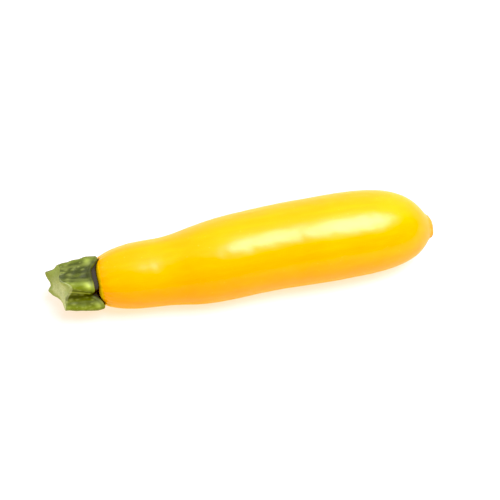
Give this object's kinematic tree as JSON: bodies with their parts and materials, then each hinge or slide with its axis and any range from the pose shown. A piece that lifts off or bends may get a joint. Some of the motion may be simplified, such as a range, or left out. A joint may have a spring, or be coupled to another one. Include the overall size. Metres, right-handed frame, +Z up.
{
  "type": "yellow zucchini",
  "caption": "Yellow summer squash as picked, lying on its side, with a cut ribbed green stem and a small blossom scar.",
  "frame": {"origin": "on the surface that the zucchini lies on, under the middle of its box", "axes": "+X along the fruit from the stem to the blossom end, +Z up from the surface, +Y to the far side"},
  "size_m": [0.1924, 0.0428, 0.0423],
  "materials": {
    "fruit_skin": "satin",
    "stem_skin": "matte"
  },
  "bodies": {
    "root": {"fruit": "fruit_skin", "stem": "stem_skin"}
  },
  "joints": []
}
